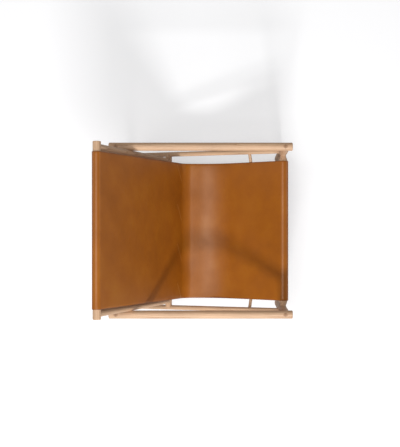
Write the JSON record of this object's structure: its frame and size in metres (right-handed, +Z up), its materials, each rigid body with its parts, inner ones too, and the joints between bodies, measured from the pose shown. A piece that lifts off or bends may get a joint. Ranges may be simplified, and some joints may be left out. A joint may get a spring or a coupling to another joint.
{
  "type": "sling lounge armchair",
  "caption": "Low lounge armchair: round light-oak frame with straight arms over upright legs, and one tan leather sling hung from the top rail to the front rail.",
  "frame": {"origin": "on the floor, under the middle of the chair's outer box", "axes": "+X is the chair's front, +Y is its left side, +Z is up"},
  "size_m": [0.6883, 0.6438, 0.7614],
  "materials": {
    "oak": "light oak, sanded and soap finished, matt",
    "wedge_oak": "darker oak end grain, sanded flush",
    "leather": "tan bridle leather, waxed, low sheen",
    "brass": "satin brass",
    "steel": "satin zinc",
    "nylon": "dark nylon, matt"
  },
  "bodies": {
    "root": {"arm_left": "oak", "seat_rail_left": "oak", "back_post_left": "oak", "front_leg_left": "oak", "wedge_front_left": "wedge_oak", "glide_front_left": "nylon", "rear_leg_left": "oak", "wedge_rear_left": "wedge_oak", "glide_rear_left": "nylon", "post_bolt_left": "steel", "arm_insert_left": "brass", "arm_right": "oak", "seat_rail_right": "oak", "back_post_right": "oak", "front_leg_right": "oak", "wedge_front_right": "wedge_oak", "glide_front_right": "nylon", "rear_leg_right": "oak", "wedge_rear_right": "wedge_oak", "glide_rear_right": "nylon", "post_bolt_right": "steel", "arm_insert_right": "brass", "top_rail": "oak", "front_rail": "oak", "rear_cross_rail": "oak", "seat_bow": "oak", "leather_sling": "leather", "sling_screws_top": "brass", "sling_screws_front": "brass"}
  },
  "joints": []
}
